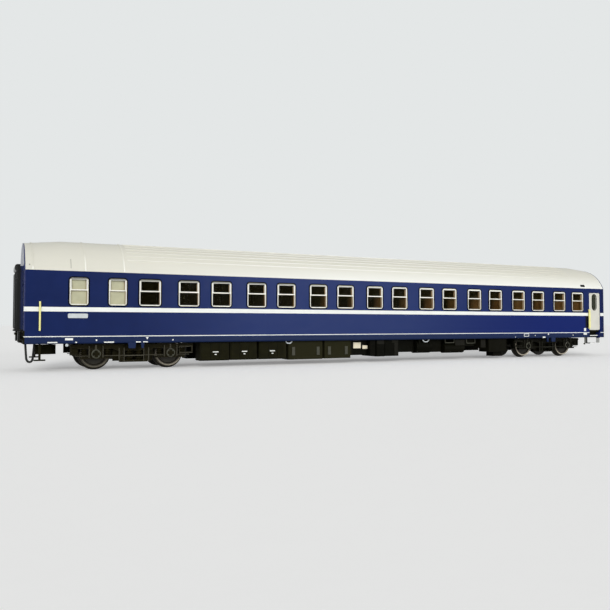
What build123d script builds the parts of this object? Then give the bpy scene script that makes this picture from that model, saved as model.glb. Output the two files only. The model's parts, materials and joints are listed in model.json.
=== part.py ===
from build123d import *
import os

# A 1:87 model of a sleeping coach, in millimetres. X runs along the coach with the entrance
# doors at the +X (front) end, the right-hand side is at -Y, and the wheel flanges stand on Z = 0.

# Body shell. Heights of the shell are measured from its lower edge, the sill.
body_length = 300.0
body_width = 32.5
side_height = 27.1
roof_rise = 12.5
end_droop = 1.25
droop_length = 13.4
wall = 1.2
skirt_wall = 0.9
skirt_round = 0.6
roof_wall = 1.0
end_rim = 0.4
end_wall_core = 1.2
fit = 0.05

# Wheels and axles
flange_depth = 0.8
tread_diameter = 10.9
tread_taper = 0.1
back_to_back = 14.3
wheel_width = 2.6
flange_width = 0.8
flange_tip = 0.5
rim_thickness = 1.0
disc_recess = 0.45
axle_diameter = 1.8
journal_diameter = 1.2
journal_length = 1.55

# Floor over the wheels and the drop from it to the sill
wheel_headroom = 0.7
sill_drop = 2.9
floor_thickness = 1.2

# Windows: a row on each side, narrow frosted ones first, then clear ones in pairs
window_width = 8.6
window_height = 10.4
window_corner = 1.1
window_head = 2.35
window_first_inset = 45.4
window_narrow_step = 13.7
window_wide_step = 15.55
window_end_gap = 1.5
frosted_width = 6.9
frosted_first_inset = 18.9
frosted_step = 14.15
frosted_count = 2
frame_rim = 0.5
frame_lap = 0.25
frame_proud = 0.16
sash_rim = 0.3
crossbar_drop = 4.65
crossbar_height = 0.46
pane_thickness = 0.4

# Entrance door and its steps
door_width = 8.65
door_inset = 7.1
door_head = 2.3
door_base = 4.1
door_corner = 0.9
door_recess = 0.35
door_thickness = 0.8
door_pane_width = 3.3
door_pane_height = 8.6
door_pane_head = 0.95
step_tread_depth = 2.2
step_tread_thickness = 0.45
step_tread_drops = (-1.3, 2.9)
step_cheek = 0.5
step_hanger = 0.55

# Roof: raised ribs over its middle, and seam bands near the blind end
rib_width = 0.4
rib_height = 0.16
rib_pitch_deg = 7.5
rib_pairs = 8
rib_rear_inset = 37.0
rib_front_inset = 24.0
seam_insets = (2.9, 21.2, 35.5)
seam_width = 0.5
seam_height = 0.2

# Bogies
pivot_inset = 40.0
wheelbase = 28.7
bogie_overhang = 9.25
bogie_clearance = 0.5
axle_box_gap_in = 0.65
beam_gap_in = 1.45
beam_width = 1.8
beam_height = 1.6
beam_tip_height = 0.9
beam_centre_height = 2.4
beam_centre_length = 12.4
wheel_gap = 0.8
transom_width = 1.6
end_beam_set_in = 1.2
end_beam_width = 1.0
bolster_length = 7.0
bolster_depth = 3.6
cross_plank_width = 5.2
pivot_pin_diameter = 3.6
pivot_play = 0.2
pivot_boss_diameter = 8.0
pivot_pin_reach = 2.4
axle_box_width = 4.4
axle_box_drop = 1.85
axle_box_proud = 0.3
axle_box_gap = 0.3
axle_cover_diameter = 3.4
axle_cover = 0.4
wing_length = 11.6
wing_thickness = 0.7
spring_offset = 4.3
spring_diameter = 2.5
bolster_spring_diameter = 3.2
bolster_spring_spacing = 3.8
plank_length = 10.4
plank_drop = 6.9
plank_thickness = 0.7
link_width = 0.9
shoe_gap = 0.3
shoe_thickness = 0.85
shoe_height = 2.6
shoe_width = 1.5
hanger_drop = 1.35
guard_thickness = 0.5
guard_drop = 3.9

# Underframe
platform_gap = 3.4
bay_gap = 4.4
solebar_width = 1.6
hanger_rail_width = 2.0
hanger_rail_y = 9.6
keel_width = 6.0
cross_member_pitch = 16.4
cross_member_width = 1.2
headstock_height = 4.9

# Couplers
coupler_pivot_inset = 10.4
coupler_end_inset = 4.8
coupler_height = 3.7
coupler_gap = 0.6
coupler_width = 5.0
coupler_eye_diameter = 4.0
coupler_pin_diameter = 1.6
coupler_play = 0.15
socket_width = 3.2
socket_height = 1.7
socket_depth = 4.0

# Ends: buffers, gangway tubes and footplate
buffer_spacing = 20.1
buffer_rise = 2.7
buffer_projection = 1.7
buffer_head_width = 6.5
buffer_head_height = 3.9
buffer_head = 0.6
buffer_corner = 0.8
buffer_stem_diameter = 2.6
tube_out = 7.3
tube_width = 2.6
tube_depth = 1.9
tube_stand_off = 0.9
tube_back_inset = 0.6
tube_base = 5.3
tube_over_eaves = 2.6
tube_round = 0.95
footplate_width = 9.2
footplate_rise = 4.1
footplate_thickness = 0.8
footplate_reach = 2.4
bracket_width = 8.0
bracket_height = 3.8
bracket_thickness = 1.0
end_door_width = 8.6
end_door_head = 1.9
end_door_panel = 0.4
end_door_stile = 0.9

# Inside
ballast_length = 170.0
ballast_side_gap = 2.4
ballast_thickness = 1.6
runner_width = 1.6
inner_floor_thickness = 0.8
corridor_width = 8.4
corridor_wall_thickness = 0.9
cabin_head = 1.4
cabin_side_gap = 0.6
partition_thickness = 0.8
berth_depth = 5.2
berth_height = 4.2
berth_back = 1.2
berth_back_height = 8.0

# Underfloor equipment, hung between the bogies: x from and to, in shares of the half bay,
# and the drop of the lowest face below the sill
BATTERY_BOXES = ((-1.018, -0.868, 7.7), (-0.861, -0.718, 7.6), (-0.705, -0.551, 7.6))
CABINETS = ((-0.537, -0.334, 8.1), (-0.321, -0.159, 8.0))
LOCKERS = (
    (-0.034, 0.001, 7.4),
    (0.009, 0.062, 7.7),
    (0.066, 0.157, 7.6),
    (0.764, 0.803, 4.8),
    (0.828, 0.973, 6.8),
)
SET_BACK_BOXES = (
    (-0.150, -0.040, 6.9),
    (0.165, 0.283, 6.0),
    (0.403, 0.480, 6.3),
    (0.655, 0.732, 3.7),
)
SUMPS = ((0.888, 0.956, 9.1),)
tank_span = (0.288, 0.398)
machine_span = (0.490, 0.640)
machine_cover_span = (0.566, 0.640)
equipment_set_in = 1.85
equipment_in = 7.0
set_back = 2.2
panel_rim = 0.5
panel_proud = 0.3
panel_gap = 0.35
battery_panels = 3
handle_width = 1.3
handle_height = 3.6
handle_proud = 0.35
handle_set_in = 2.3
handle_drop = 4.45
tank_diameter = 6.6
tank_saddle = 1.0
machine_diameter = 4.6
machine_cover_height = 3.4

# Small fittings on the body
rail_diameter = 0.65
rail_stand_off = 0.3
rail_rise = 4.9
rail_length = 10.7
rail_rear_inset = 5.4
rail_door_gap = 0.6
LUGS = ((1.35, 3.1), (-2.7, 1.4))  # distance outwards from the pivot, width
lug_taper = 0.3
lug_drop = 2.0
lug_set_in = 0.15
hose_diameter = 0.8
hose_y = 9.0
hose_sides = 6
hose_radii = (2.0, 0.9, 2.0)
HOSE_POINTS = ((1.0, 0.0), (1.4, 5.7), (2.6, 7.9), (3.6, 5.7), (4.1, 0.0))  # inset, drop
corner_step_inset = 5.6
corner_step_drop = 5.7
corner_step_width = 4.0
corner_step_depth = 1.6
corner_step_thickness = 0.5
corner_hanger = 0.8

# Levels, from the wheels up
tread_radius = tread_diameter / 2
flange_radius = tread_radius + flange_depth
axle_z = flange_radius
floor_base_z = 2 * flange_radius + wheel_headroom
floor_top_z = floor_base_z + floor_thickness
sill_z = floor_base_z - sill_drop
eaves_z = sill_z + side_height
crown_z = eaves_z + roof_rise
window_base_z = eaves_z - window_head - window_height
window_z = window_base_z + window_height / 2
crossbar_z = window_base_z + window_height - crossbar_drop
door_base_z = sill_z + door_base
door_top_z = eaves_z - door_head
headstock_top_z = sill_z + headstock_height
ballast_top_z = floor_top_z + ballast_thickness
deck_z = ballast_top_z + inner_floor_thickness
cabin_top_z = eaves_z - cabin_head
bogie_top_z = sill_z - bogie_clearance
beam_base_z = bogie_top_z - beam_height
beam_tip_z = bogie_top_z - beam_tip_height
centre_base_z = bogie_top_z - beam_centre_height
bolster_base_z = bogie_top_z - bolster_depth
plank_base_z = bogie_top_z - plank_drop
plank_top_z = plank_base_z + plank_thickness
axle_box_base_z = axle_z - axle_box_drop
wing_top_z = axle_box_base_z + wing_thickness
coupler_top_z = sill_z - coupler_gap
coupler_base_z = coupler_top_z - coupler_height

# Places across the coach
half_width = body_width / 2
inner_half_width = half_width - wall
door_front_y = half_width - door_recess
door_back_y = door_front_y - door_thickness
step_inner_y = door_front_y - step_tread_depth - fit
corner_step_y = step_inner_y + corner_hanger / 2
equipment_out = half_width - equipment_set_in
wheel_back = back_to_back / 2
wheel_out = wheel_back + wheel_width
axle_box_in = wheel_out + axle_box_gap_in
beam_in = wheel_out + beam_gap_in
beam_out = beam_in + beam_width
beam_mid_y = (beam_in + beam_out) / 2
axle_box_out = beam_out + axle_box_proud
journal_reach = wheel_out + journal_length

# Places along the coach
half_length = body_length / 2
shell_end_x = half_length - end_rim
inner_end_x = shell_end_x - end_wall_core
droop_start_x = half_length - droop_length
pivot_x = half_length - pivot_inset
axle_x = wheelbase / 2
bogie_end_x = axle_x + bogie_overhang
transom_face_x = axle_x - flange_radius - wheel_gap
end_beam_face_x = bogie_end_x - end_beam_set_in - end_beam_width
platform_start_x = pivot_x + bogie_end_x + platform_gap
bay_end_x = pivot_x - bogie_end_x - bay_gap
coupler_pivot_x = half_length - coupler_pivot_inset
coupler_end_x = half_length - coupler_end_inset
door_x = half_length - door_inset

window_pair = window_narrow_step + window_wide_step
first_frosted_x = -half_length + frosted_first_inset
first_clear_x = -half_length + window_first_inset
last_window_x = door_x - door_width / 2 - window_end_gap - window_width / 2
pair_count = int((last_window_x - first_clear_x) / window_pair)
frosted_x = [first_frosted_x + window * frosted_step for window in range(frosted_count)]
clear_x = [first_clear_x]
for _ in range(pair_count):
    clear_x.append(clear_x[-1] + window_wide_step)
    clear_x.append(clear_x[-1] + window_narrow_step)
window_x = frosted_x + clear_x
WINDOWS = (
    # centres, width over the frame
    (frosted_x, frosted_width),
    (clear_x, window_width),
)

ENDS = (("front", 1), ("rear", -1))

os.makedirs("parts", exist_ok=True)


def save(piece, label):
    piece.part.label = label
    export_step(piece.part, f"parts/{label}.step")


def save_mirrored(piece, about, label):
    with BuildPart() as copy:
        mirror(piece.part, about=about)
    save(copy, label)


def save_sides(piece, name):
    save(piece, f"{name}_right")
    save_mirrored(piece, Plane.XZ, f"{name}_left")


def save_ends(piece, name):
    save(piece, f"{name}_front")
    save_mirrored(piece, Plane.YZ, f"{name}_rear")


def block(x, y, z, mode=Mode.ADD):
    """A box between the (low, high) pairs x, y and z."""
    with Locations(((x[0] + x[1]) / 2, (y[0] + y[1]) / 2, (z[0] + z[1]) / 2)):
        Box(x[1] - x[0], y[1] - y[0], z[1] - z[0], mode=mode)


def post(diameter, x, y, z, mode=Mode.ADD):
    """An upright cylinder at (x, y) between the levels in z."""
    with Locations((x, y, z[0])):
        Cylinder(diameter / 2, z[1] - z[0], align=(Align.CENTER, Align.CENTER, Align.MIN), mode=mode)


def shell_profile(side_inset, crown_inset, base_z):
    """The coach's cross-section, set in at the sides and the crown, closed at base_z."""
    with BuildLine() as outline:
        Polyline(
            (-half_width + side_inset, eaves_z),
            (-half_width + side_inset, base_z),
            (half_width - side_inset, base_z),
            (half_width - side_inset, eaves_z),
        )
        ThreePointArc(
            (half_width - side_inset, eaves_z),
            (0, crown_z - crown_inset),
            (-half_width + side_inset, eaves_z),
        )
    make_face(outline.edges())


# Side walls with the window row, the doorway, the rounded lower edge and the lifting lugs
opening_height = window_height - 2 * frame_lap
lugs = [(way * (pivot_x + offset), width / 2) for _, way in ENDS for offset, width in LUGS]
with BuildPart() as side_wall:
    with BuildSketch(Plane.YZ.offset(-shell_end_x)):
        with BuildLine():
            Polyline(
                (-half_width, eaves_z),
                (-half_width, sill_z),
                (-half_width + skirt_wall, sill_z),
                (-half_width + skirt_wall, floor_base_z),
                (-inner_half_width, floor_base_z),
                (-inner_half_width, eaves_z),
                close=True,
            )
        make_face()
    extrude(amount=2 * shell_end_x)
    lower_edge = side_wall.edges().filter_by(Axis.X).group_by(Axis.Z)[0].sort_by(Axis.Y)[0]
    fillet(lower_edge, skirt_round)
    with BuildSketch(Plane.XZ.offset(half_width)):
        for centres, width in WINDOWS:
            with Locations(*[(x, window_z) for x in centres]):
                Rectangle(width - 2 * frame_lap, opening_height)
        with Locations((door_x, (sill_z - door_corner + door_top_z) / 2)):
            RectangleRounded(door_width, door_top_z - sill_z + door_corner, door_corner)
    extrude(amount=-2 * wall, mode=Mode.SUBTRACT)
    with BuildSketch(Plane.XZ.offset(half_width - skirt_wall)):
        for x, lug_half in lugs:
            with BuildLine():
                Polyline(
                    (x - lug_half, sill_z + skirt_round),
                    (x - lug_half + lug_taper, sill_z - lug_drop),
                    (x + lug_half - lug_taper, sill_z - lug_drop),
                    (x + lug_half, sill_z + skirt_round),
                    close=True,
                )
            make_face()
    extrude(amount=skirt_wall - lug_set_in)
save_sides(side_wall, "side_wall")

# End walls: a rim with the whole cross-section and a core that fits inside the shell
end_door_top_z = eaves_z - end_door_head
with BuildPart() as end_wall:
    with BuildSketch(Plane.YZ.offset(shell_end_x)):
        shell_profile(0, end_droop, headstock_top_z)
    extrude(amount=end_rim)
    with BuildSketch(Plane.YZ.offset(inner_end_x)):
        shell_profile(wall + fit, end_droop + roof_wall + fit, headstock_top_z)
    extrude(amount=end_wall_core)
    block(
        (inner_end_x, half_length),
        (-end_door_width / 2, end_door_width / 2),
        (headstock_top_z, end_door_top_z),
        Mode.SUBTRACT,
    )
save_ends(end_wall, "end_wall")

# Gangway doors, set in the end walls: two leaves, each with a sunk panel
leaf_width = end_door_width / 2 - fit
end_door_height = end_door_top_z - headstock_top_z
with BuildPart() as gangway_door:
    block((inner_end_x, shell_end_x), (-leaf_width, leaf_width), (headstock_top_z, end_door_top_z - fit))
    with BuildSketch(Plane.YZ.offset(shell_end_x)):
        with Locations((0, headstock_top_z + end_door_height / 2)):
            with GridLocations(leaf_width, end_door_height, 2, 1):
                Rectangle(leaf_width - 2 * end_door_stile, end_door_height - 2 * end_door_stile)
    extrude(amount=-end_door_panel, mode=Mode.SUBTRACT)
save_ends(gangway_door, "gangway_door")


# Roof: one arched shell with drooping ends, raised ribs along its middle and seam bands at the blind end
def arch_radius(rise):
    return (half_width**2 + rise**2) / (2 * rise)


def rise_at(inset):
    """The roof's rise at a distance from the end of the body."""
    return roof_rise - end_droop * max(0, (droop_length - inset) / (droop_length - end_rim))


def roof_section(rise):
    with BuildLine() as outline:
        ThreePointArc((-half_width, eaves_z), (0, eaves_z + rise), (half_width, eaves_z))
        Line((half_width, eaves_z), (inner_half_width, eaves_z))
        ThreePointArc(
            (inner_half_width, eaves_z),
            (0, eaves_z + rise - roof_wall),
            (-inner_half_width, eaves_z),
        )
        Line((-inner_half_width, eaves_z), (-half_width, eaves_z))
    make_face(outline.edges())


roof_radius = arch_radius(roof_rise)
rib_start_x = -half_length + rib_rear_inset
rib_end_x = half_length - rib_front_inset
rib_angles = [rib_pitch_deg * (rib - rib_pairs + 0.5) for rib in range(2 * rib_pairs)]
with BuildPart() as roof:
    with BuildSketch(Plane.YZ.offset(-droop_start_x)):
        roof_section(roof_rise)
    extrude(amount=2 * droop_start_x)
    for _, way in ENDS:
        for x, rise in ((droop_start_x, roof_rise), (shell_end_x, roof_rise - end_droop)):
            with BuildSketch(Plane.YZ.offset(way * x)):
                roof_section(rise)
        loft(ruled=True)
    with BuildSketch(Plane.YZ.offset(rib_start_x)):
        for angle in rib_angles:
            with Locations(Location((0, crown_z - roof_radius), angle)):
                with Locations((0, roof_radius)):
                    Rectangle(rib_width, 2 * rib_height)
    extrude(amount=rib_end_x - rib_start_x)
    for inset in seam_insets:
        rise = rise_at(inset)
        radius = arch_radius(rise)
        with BuildSketch(Plane.YZ.offset(-half_length + inset - seam_width / 2)):
            with Locations((0, eaves_z + rise - radius)):
                Circle(radius + seam_height)
                Circle(radius - roof_wall / 2, mode=Mode.SUBTRACT)
            with Locations((0, eaves_z + rise)):
                Rectangle(body_width, 2 * rise, mode=Mode.INTERSECT)
        extrude(amount=seam_width)
save(roof, "roof")

# Window frames: a rounded flange on the wall, a plug in its opening, a crossbar and a narrower top sash
lower_pane = (window_base_z + frame_rim, crossbar_z - crossbar_height / 2)
upper_pane = (crossbar_z + crossbar_height / 2, window_base_z + window_height - frame_rim - sash_rim)
plug_lap = frame_lap + fit


def pane_rectangles(centres, outer_width, margin, mode):
    """The lower and the upper pane of the windows at centres, set in by margin."""
    for (low, high), rim in ((lower_pane, frame_rim), (upper_pane, frame_rim + sash_rim)):
        with Locations(*[(x, (low + high) / 2) for x in centres]):
            Rectangle(outer_width - 2 * rim - 2 * margin, high - low - 2 * margin, mode=mode)


with BuildPart() as window_frames:
    for centres, width in WINDOWS:
        with BuildSketch(Plane.XZ.offset(half_width)):
            with Locations(*[(x, window_z) for x in centres]):
                RectangleRounded(width, window_height, window_corner)
            pane_rectangles(centres, width, 0, Mode.SUBTRACT)
        extrude(amount=frame_proud)
        with BuildSketch(Plane.XZ.offset(inner_half_width)):
            with Locations(*[(x, window_z) for x in centres]):
                Rectangle(width - 2 * plug_lap, window_height - 2 * plug_lap)
            pane_rectangles(centres, width, 0, Mode.SUBTRACT)
        extrude(amount=wall)
save_sides(window_frames, "window_frames")

# Panes at the back of the frames: clear ones with the door's pane in one node, frosted ones in another
door_pane_z = door_top_z - door_pane_head - door_pane_height / 2
with BuildPart() as window_glass:
    with BuildSketch(Plane.XZ.offset(inner_half_width)):
        pane_rectangles(clear_x, window_width, fit, Mode.ADD)
    extrude(amount=pane_thickness)
    with BuildSketch(Plane.XZ.offset(door_back_y)):
        with Locations((door_x, door_pane_z)):
            SlotOverall(door_pane_height - 2 * fit, door_pane_width - 2 * fit, rotation=90)
    extrude(amount=pane_thickness)
save_sides(window_glass, "window_glass")

with BuildPart() as frosted_panes:
    with BuildSketch(Plane.XZ.offset(inner_half_width)):
        pane_rectangles(frosted_x, frosted_width, fit, Mode.ADD)
    extrude(amount=pane_thickness)
save_sides(frosted_panes, "frosted_panes")

# Entrance doors with a tall round-ended window, set back in the doorway
with BuildPart() as entrance_door:
    with BuildSketch(Plane.XZ.offset(door_back_y)):
        with Locations((door_x, (door_base_z + door_top_z) / 2)):
            RectangleRounded(door_width - 2 * fit, door_top_z - door_base_z - 2 * fit, door_corner)
        with Locations((door_x, door_pane_z)):
            SlotOverall(door_pane_height, door_pane_width, rotation=90, mode=Mode.SUBTRACT)
    extrude(amount=door_thickness)
save_sides(entrance_door, "entrance_door")

# Entrance steps: two treads between a cheek at the coach's end and a slim hanger
step_half = door_width / 2 - fit
step_y = (-door_front_y, -door_front_y + step_tread_depth)
step_base_z = sill_z - step_tread_drops[-1] - step_tread_thickness
with BuildPart() as entrance_steps:
    for drop in step_tread_drops:
        block(
            (door_x - step_half, door_x + step_half),
            step_y,
            (sill_z - drop - step_tread_thickness, sill_z - drop),
        )
    step_z = (step_base_z, floor_base_z)
    block((door_x + step_half - step_cheek, door_x + step_half), step_y, step_z)
    block(
        (door_x - step_half, door_x - step_half + step_hanger),
        (step_y[1] - step_hanger, step_y[1]),
        step_z,
    )
    mirror(about=Plane.XZ)
save(entrance_steps, "entrance_steps")

# Underframe: floor plate, end platforms, solebars, hanger rails, keel, cross members, pivot bosses and pins
solebar_out = half_width - skirt_wall - fit
pin_base_z = bogie_top_z - pivot_pin_reach
LONG_MEMBERS = (
    # middle, width
    (-solebar_out + solebar_width / 2, solebar_width),
    (-hanger_rail_y, hanger_rail_width),
    (0, keel_width),
    (hanger_rail_y, hanger_rail_width),
    (solebar_out - solebar_width / 2, solebar_width),
)
with BuildPart() as underframe:
    block(
        (-inner_end_x + fit, inner_end_x - fit),
        (-inner_half_width + fit, inner_half_width - fit),
        (floor_base_z, floor_top_z),
    )
    for y, width in LONG_MEMBERS:
        block((-bay_end_x, bay_end_x), (y - width / 2, y + width / 2), (sill_z, floor_base_z))
    member_count = int(2 * bay_end_x / cross_member_pitch) + 1
    with Locations((0, 0, (sill_z + floor_base_z) / 2)):
        with GridLocations(cross_member_pitch, body_width, member_count, 1):
            Box(cross_member_width, 2 * solebar_out, floor_base_z - sill_z)
    for end, way in ENDS:
        block(
            sorted((way * platform_start_x, way * (inner_end_x - fit))),
            (-step_inner_y, step_inner_y),
            (sill_z, floor_base_z),
        )
        post(pivot_boss_diameter, way * pivot_x, 0, (bogie_top_z + pivot_play, floor_base_z))
        post(pivot_pin_diameter, way * pivot_x, 0, (pin_base_z, floor_base_z))
        post(coupler_eye_diameter, way * coupler_pivot_x, 0, (coupler_top_z + coupler_play, floor_base_z))
        post(coupler_pin_diameter, way * coupler_pivot_x, 0, (coupler_base_z, floor_base_z))
save(underframe, "underframe")

# Headstocks close the ends below the end walls
with BuildPart() as headstock:
    block((shell_end_x, half_length), (-half_width, half_width), (sill_z, headstock_top_z))
    block(
        (inner_end_x, shell_end_x),
        (-inner_half_width + fit, inner_half_width - fit),
        (sill_z, headstock_top_z),
    )
save_ends(headstock, "headstock")

# Buffers: a broad rounded head on a round stem, one on each side of each headstock
buffer_places = [(y, sill_z + buffer_rise) for y in (-buffer_spacing / 2, buffer_spacing / 2)]
with BuildPart() as buffers:
    with BuildSketch(Plane.YZ.offset(half_length)):
        with Locations(*buffer_places):
            Circle(buffer_stem_diameter / 2)
    extrude(amount=buffer_projection - buffer_head)
    with BuildSketch(Plane.YZ.offset(half_length + buffer_projection - buffer_head)):
        with Locations(*buffer_places):
            RectangleRounded(buffer_head_width, buffer_head_height, buffer_corner)
    extrude(amount=buffer_head)
save_ends(buffers, "buffers")

# Gangway tubes: two uprights and a top tube of rounded rubber section, on a narrower back frame
tube_start_x = half_length + tube_stand_off
tube_x = (tube_start_x, tube_start_x + tube_depth)
back_x = (half_length, tube_start_x)
back_half = tube_out - tube_back_inset
tube_top_z = eaves_z + tube_over_eaves
tube_mid_z = tube_top_z - tube_width
with BuildPart() as gangway_tubes:
    for y in (-tube_out, tube_out - tube_width):
        block(tube_x, (y, y + tube_width), (sill_z + tube_base, tube_mid_z - fit))
    block(tube_x, (-tube_out, tube_out), (tube_mid_z, tube_top_z))
    outer_edges = gangway_tubes.faces().filter_by(Axis.X).group_by(Axis.X)[-1].edges()
    fillet(outer_edges, tube_round)
    for y in (-tube_out + tube_back_inset, tube_out - tube_width + tube_back_inset):
        block(back_x, (y, y + tube_width - 2 * tube_back_inset), (sill_z + tube_base, tube_mid_z - fit))
    block(back_x, (-back_half, back_half), (tube_mid_z, tube_top_z - tube_back_inset))
save_ends(gangway_tubes, "gangway_tubes")

# Footplates with the bracket that carries them on the headstock
footplate_z = sill_z + footplate_rise
with BuildPart() as footplate:
    block(
        (half_length, half_length + footplate_reach),
        (-footplate_width / 2, footplate_width / 2),
        (footplate_z - footplate_thickness, footplate_z),
    )
    block(
        (half_length, half_length + bracket_thickness),
        (-bracket_width / 2, bracket_width / 2),
        (footplate_z - bracket_height, footplate_z),
    )
save_ends(footplate, "footplate")

# Inside: steel ballast plate, floor on side runners, corridor wall, partitions and berths
runner_in = inner_half_width - fit - runner_width
ballast_half_width = runner_in - ballast_side_gap
with BuildPart() as ballast_plate:
    block(
        (-ballast_length / 2, ballast_length / 2),
        (-ballast_half_width, ballast_half_width),
        (floor_top_z, ballast_top_z),
    )
save(ballast_plate, "ballast_plate")

deck_x = (-inner_end_x + fit, inner_end_x - fit)
with BuildPart() as inner_floor:
    block(deck_x, (-inner_half_width + fit, inner_half_width - fit), (ballast_top_z, deck_z))
    for y in (-runner_in - runner_width, runner_in):
        block(deck_x, (y, y + runner_width), (floor_top_z, ballast_top_z))
save(inner_floor, "inner_floor")

corridor_y = inner_half_width - corridor_width
partition_x = [window_x[0] - frosted_step / 2]
partition_x += [(left + right) / 2 for left, right in zip(window_x, window_x[1:])]
partition_x += [window_x[-1] + window_narrow_step / 2]
partition_y = (-inner_half_width + cabin_side_gap, corridor_y - corridor_wall_thickness)
with BuildPart() as corridor_wall:
    block(
        (partition_x[0], partition_x[-1]),
        (corridor_y - corridor_wall_thickness, corridor_y),
        (deck_z, cabin_top_z),
    )
save(corridor_wall, "corridor_wall")

with BuildPart() as partitions:
    for x in partition_x:
        block((x - partition_thickness / 2, x + partition_thickness / 2), partition_y, (deck_z, cabin_top_z))
save(partitions, "partitions")

with BuildPart() as berths:
    for x in partition_x[frosted_count:-1]:
        back_x = x + partition_thickness / 2
        block((back_x, back_x + berth_depth), partition_y, (deck_z, deck_z + berth_height))
        block((back_x, back_x + berth_back), partition_y, (deck_z, deck_z + berth_back_height))
save(berths, "berths")


# Underfloor equipment hung from the solebars and hanger rails
def bay_span(start, stop):
    return (start * bay_end_x, stop * bay_end_x)


def hung_boxes(rows, out):
    for start, stop, drop in rows:
        block(bay_span(start, stop), (-out, -equipment_in), (sill_z - drop, sill_z))


with BuildPart() as battery_boxes:
    hung_boxes(BATTERY_BOXES, equipment_out - panel_proud)
    for start, stop, drop in BATTERY_BOXES:
        left, right = bay_span(start, stop)
        pitch = (right - left - 2 * panel_rim + panel_gap) / battery_panels
        with Locations(((left + right) / 2, -equipment_out + panel_proud / 2, sill_z - drop / 2)):
            with GridLocations(pitch, body_width, battery_panels, 1):
                Box(pitch - panel_gap, panel_proud, drop - 2 * panel_rim)
    mirror(about=Plane.XZ)
save(battery_boxes, "battery_boxes")

cabinet_front_y = equipment_out - handle_proud
with BuildPart() as cabinets:
    hung_boxes(CABINETS, cabinet_front_y)
    mirror(about=Plane.XZ)
save(cabinets, "equipment_cabinets")

with BuildPart() as cabinet_handles:
    for start, stop, _ in CABINETS:
        left, right = bay_span(start, stop)
        handle_x = (left + handle_set_in, right - handle_set_in)
        with BuildSketch(Plane.XZ.offset(cabinet_front_y)):
            with Locations(*[(x, sill_z - handle_drop) for x in handle_x]):
                Rectangle(handle_width, handle_height)
        extrude(amount=handle_proud)
    mirror(about=Plane.XZ)
save(cabinet_handles, "cabinet_handles")

with BuildPart() as lockers:
    hung_boxes(LOCKERS, equipment_out)
    hung_boxes(SET_BACK_BOXES, equipment_out - set_back)
    mirror(about=Plane.XZ)
    hung_boxes(SUMPS, equipment_out - set_back)
save(lockers, "equipment_lockers")

tank_x = bay_span(*tank_span)
tank_y = equipment_out - tank_diameter / 2
tank_z = sill_z - tank_diameter / 2
with BuildPart() as tanks:
    with BuildSketch(Plane.YZ.offset(tank_x[0])):
        with Locations((-tank_y, tank_z)):
            Circle(tank_diameter / 2)
    extrude(amount=tank_x[1] - tank_x[0])
    for x in (tank_x[0] + tank_saddle, tank_x[1] - 2 * tank_saddle):
        block((x, x + tank_saddle), (-equipment_out, -equipment_in), (tank_z, sill_z))
    mirror(about=Plane.XZ)
save(tanks, "water_tanks")

machine_x = bay_span(*machine_span)
machine_z = sill_z - machine_cover_height - machine_diameter / 4
with BuildPart() as alternator:
    with BuildSketch(Plane.YZ.offset(machine_x[0])):
        with Locations((-equipment_out + machine_diameter / 2, machine_z)):
            Circle(machine_diameter / 2)
    extrude(amount=machine_x[1] - machine_x[0])
    block(
        bay_span(*machine_cover_span),
        (-equipment_out, -equipment_in),
        (sill_z - machine_cover_height, sill_z),
    )
save(alternator, "alternator")

# Handrails beside the doors and at the blind corners
rail_y = -half_width - rail_stand_off - rail_diameter / 2
rail_base_z = sill_z + rail_rise
rail_top_z = rail_base_z + rail_length
with BuildPart() as handrails:
    for x in (-half_length + rail_rear_inset, door_x - door_width / 2 - rail_door_gap):
        post(rail_diameter, x, rail_y, (rail_base_z, rail_top_z))
        for z in (rail_base_z, rail_top_z - rail_diameter):
            block(
                (x - rail_diameter / 2, x + rail_diameter / 2),
                (rail_y, -half_width),
                (z, z + rail_diameter),
            )
    mirror(about=Plane.XZ)
save(handrails, "handrails")

# Shunter's steps at the blind corners
corner_step_x = -half_length + corner_step_inset
corner_step_z = sill_z - corner_step_drop
with BuildPart() as corner_steps:
    block(
        (corner_step_x - corner_step_width / 2, corner_step_x + corner_step_width / 2),
        (-corner_step_y - corner_step_depth / 2, -corner_step_y + corner_step_depth / 2),
        (corner_step_z - corner_step_thickness, corner_step_z),
    )
    block(
        (corner_step_x - corner_hanger / 2, corner_step_x + corner_hanger / 2),
        (-corner_step_y - corner_hanger / 2, -corner_step_y + corner_hanger / 2),
        (corner_step_z - corner_step_thickness, floor_base_z),
    )
    mirror(about=Plane.XZ)
save(corner_steps, "corner_steps")

# Brake hoses, moulded stiff, hanging in a loop below each headstock, on opposite sides
with BuildPart() as brake_hose:
    with BuildLine(Plane.XZ.offset(hose_y)) as hose_path:
        FilletPolyline(
            *[(half_length - inset, sill_z - drop) for inset, drop in HOSE_POINTS],
            radius=hose_radii,
        )
    with BuildSketch(Plane(hose_path.line @ 0, z_dir=hose_path.line % 0)):
        RegularPolygon(hose_diameter / 2, hose_sides)
    sweep()
save_mirrored(brake_hose, Plane.XZ, "brake_hose_front")
save_mirrored(brake_hose, Plane.YZ, "brake_hose_rear")

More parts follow.
